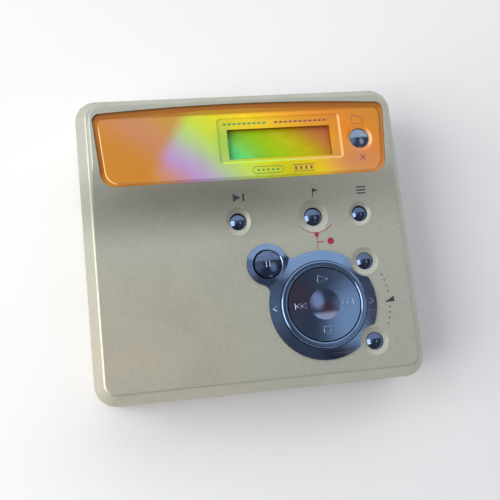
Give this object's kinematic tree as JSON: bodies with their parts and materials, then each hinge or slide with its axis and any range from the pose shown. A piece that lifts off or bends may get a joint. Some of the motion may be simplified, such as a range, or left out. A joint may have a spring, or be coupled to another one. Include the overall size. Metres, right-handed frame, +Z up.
{
  "type": "portable minidisc player",
  "caption": "Flat pocket minidisc recorder with a hinged lid, tinted display lens, round dial, small keys, disc holder, optical sled and battery compartment.",
  "frame": {"origin": "middle of the base, on the surface that the feet stand on", "axes": "+X to the right seen from the front, +Y to the hinge and the display, +Z up out of the lid"},
  "size_m": [0.081, 0.0746, 0.0281],
  "materials": {
    "case_paint": "satin metallic paint",
    "lid_paint": "satin metallic paint",
    "feet_rubber": "matte",
    "screw_steel": "dark satin",
    "pin_steel": "ground",
    "deck_steel": "zinc plated",
    "holder_steel": "bright",
    "coil_copper": "enamelled wire",
    "rotor_steel": "bright",
    "turntable_plastic": "matte",
    "sled_alloy": "as cast",
    "lens_holder_plastic": "matte",
    "objective_glass": "coated",
    "arm_steel": "bright",
    "head_plastic": "matte",
    "gear_plastic": "matte",
    "pinion_brass": "machined",
    "motor_can": "bright",
    "board_green": "solder mask",
    "chip_black": "matte",
    "jack_plastic": "satin",
    "supply_plastic": "satin",
    "usb_steel": "bright",
    "slider_paint": "satin",
    "tray_plastic": "matte",
    "spring_steel": "nickel",
    "contact_plate": "nickel",
    "dome_steel": "bright",
    "button_blue": "metallised gloss",
    "pause_blue": "metallised gloss",
    "group_violet": "metallised gloss",
    "bezel_blue": "metallised gloss",
    "ring_blue": "metallised gloss",
    "disc_blue": "metallised gloss",
    "tilt_plastic": "matte",
    "lens_tint": "clear, orange metallised",
    "backing_foil": "metallised film",
    "display_glass": "display glass"
  },
  "bodies": {
    "case": {"lower_case": "case_paint", "rubber_feet": "feet_rubber", "case_screws": "screw_steel", "hinge_pins": "pin_steel", "strap_bar": "pin_steel", "mechanism_deck": "deck_steel", "deck_screws": "screw_steel", "guide_rods": "pin_steel", "spindle_stator": "coil_copper", "sled_motor": "motor_can", "main_board": "board_green", "board_chips": "chip_black", "phones_jack": "jack_plastic", "line_jack": "jack_plastic", "supply_socket": "supply_plastic", "usb_socket": "usb_steel", "battery_tray": "tray_plastic", "battery_spring": "spring_steel", "door_pin": "pin_steel"},
    "lid": {"lid_shell": "lid_paint", "lid_screws": "screw_steel", "key_board": "board_green", "key_domes": "dome_steel", "tilt_post": "tilt_plastic", "dial_bezel": "bezel_blue", "display_lens": "lens_tint", "display_backing": "backing_foil", "display_module": "display_glass"},
    "holder": {"disc_holder": "holder_steel"},
    "spindle": {"spindle_rotor": "rotor_steel", "turntable": "turntable_plastic"},
    "sled": {"optical_sled": "sled_alloy", "arm_pin": "pin_steel"},
    "focus": {"lens_holder": "lens_holder_plastic", "objective_lens": "objective_glass"},
    "head": {"head_arm": "arm_steel", "magnetic_head": "head_plastic"},
    "screw": {"lead_screw": "pin_steel", "screw_gear": "gear_plastic"},
    "pinion": {"motor_pinion": "pinion_brass"},
    "open_slider": {"open_slider": "slider_paint"},
    "hold_slider": {"hold_slider": "slider_paint"},
    "battery_door": {"battery_door": "case_paint", "door_contact": "contact_plate"},
    "jog_ring": {"jog_ring": "ring_blue"},
    "tilt_plate": {"tilt_plate": "tilt_plastic"},
    "four_way_disc": {"four_way_disc": "disc_blue"},
    "end_button": {"end_button": "button_blue"},
    "mark_button": {"mark_button": "button_blue"},
    "menu_button": {"menu_button": "button_blue"},
    "volume_up_button": {"volume_up_button": "button_blue"},
    "volume_down_button": {"volume_down_button": "button_blue"},
    "pause_button": {"pause_button": "pause_blue"},
    "group_button": {"group_button": "group_violet"}
  },
  "joints": [
    {"name": "lid_hinge", "type": "hinge", "parent": "case", "child": "lid", "pos_m": [0, 0.03395, 0.0203], "axis": [-1, 0, 0], "range_deg": [0, 35]},
    {"name": "holder_hinge", "type": "hinge", "parent": "case", "child": "holder", "pos_m": [0, 0.03395, 0.0203], "axis": [-1, 0, 0], "range_deg": [0, 26.25]},
    {"name": "spindle_turn", "type": "hinge", "parent": "case", "child": "spindle", "pos_m": [0, -0.0016, 0.013], "axis": [0, 0, 1], "continuous": true},
    {"name": "screw_turn", "type": "hinge", "parent": "case", "child": "screw", "pos_m": [0.009, -0.0166, 0.0108], "axis": [1, 0, 0], "range_deg": [0, 3961]},
    {"name": "pinion_turn", "type": "hinge", "parent": "case", "child": "pinion", "pos_m": [0.009, -0.0217, 0.0108], "axis": [1, 0, 0], "range_deg": [-9506, 0]},
    {"name": "sled_slide", "type": "slide", "parent": "case", "child": "sled", "axis": [1, 0, 0], "range_m": [0, 0.0165]},
    {"name": "focus_slide", "type": "slide", "parent": "sled", "child": "focus", "axis": [0, 0, 1], "range_m": [-0.00025, 0.00025], "stiffness_N_per_m": 60},
    {"name": "head_hinge", "type": "hinge", "parent": "sled", "child": "head", "pos_m": [0.01725, 0.03395, 0.0203], "axis": [-1, 0, 0], "range_deg": [0, 26.25]},
    {"name": "open_slide", "type": "slide", "parent": "case", "child": "open_slider", "axis": [0, -1, 0], "range_m": [0, 0.0025], "stiffness_N_per_m": 300},
    {"name": "hold_slide", "type": "slide", "parent": "case", "child": "hold_slider", "axis": [1, 0, 0], "range_m": [0, 0.0025]},
    {"name": "battery_door_hinge", "type": "hinge", "parent": "case", "child": "battery_door", "pos_m": [-0.03955, 0.0168, 0.0089], "axis": [0, 0, 1], "range_deg": [0, 100]},
    {"name": "jog_ring_turn", "type": "hinge", "parent": "lid", "child": "jog_ring", "pos_m": [0.01565, -0.0182, 0.0254], "axis": [0, 0, 1], "continuous": true},
    {"name": "disc_tilt_front_rear", "type": "hinge", "parent": "lid", "child": "tilt_plate", "pos_m": [0.01565, -0.0182, 0.02395], "axis": [1, 0, 0], "range_deg": [-2, 2], "stiffness_Nm_per_rad": 0.1},
    {"name": "disc_tilt_left_right", "type": "hinge", "parent": "tilt_plate", "child": "four_way_disc", "pos_m": [0.01565, -0.0182, 0.02395], "axis": [0, 1, 0], "range_deg": [-2, 2], "stiffness_Nm_per_rad": 0.1},
    {"name": "end_press", "type": "slide", "parent": "lid", "child": "end_button", "axis": [0, 0, -1], "range_m": [0, 0.00025], "stiffness_N_per_m": 800},
    {"name": "mark_press", "type": "slide", "parent": "lid", "child": "mark_button", "axis": [0, 0, -1], "range_m": [0, 0.00025], "stiffness_N_per_m": 800},
    {"name": "menu_press", "type": "slide", "parent": "lid", "child": "menu_button", "axis": [0, 0, -1], "range_m": [0, 0.00025], "stiffness_N_per_m": 800},
    {"name": "volume_up_press", "type": "slide", "parent": "lid", "child": "volume_up_button", "axis": [0, 0, -1], "range_m": [0, 0.00025], "stiffness_N_per_m": 800},
    {"name": "volume_down_press", "type": "slide", "parent": "lid", "child": "volume_down_button", "axis": [0, 0, -1], "range_m": [0, 0.00025], "stiffness_N_per_m": 800},
    {"name": "pause_press", "type": "slide", "parent": "lid", "child": "pause_button", "axis": [0, 0, -1], "range_m": [0, 0.00025], "stiffness_N_per_m": 800},
    {"name": "group_press", "type": "slide", "parent": "lid", "child": "group_button", "axis": [0, 0, -1], "range_m": [0, 0.00025], "stiffness_N_per_m": 800}
  ],
  "couplings": [
    {"joint": "holder_hinge", "follows": "lid_hinge", "ratio": 0.75},
    {"joint": "head_hinge", "follows": "lid_hinge", "ratio": 0.75},
    {"joint": "screw_turn", "follows": "sled_slide", "rad_per_m": 4188.8},
    {"joint": "pinion_turn", "follows": "sled_slide", "rad_per_m": -10053}
  ]
}
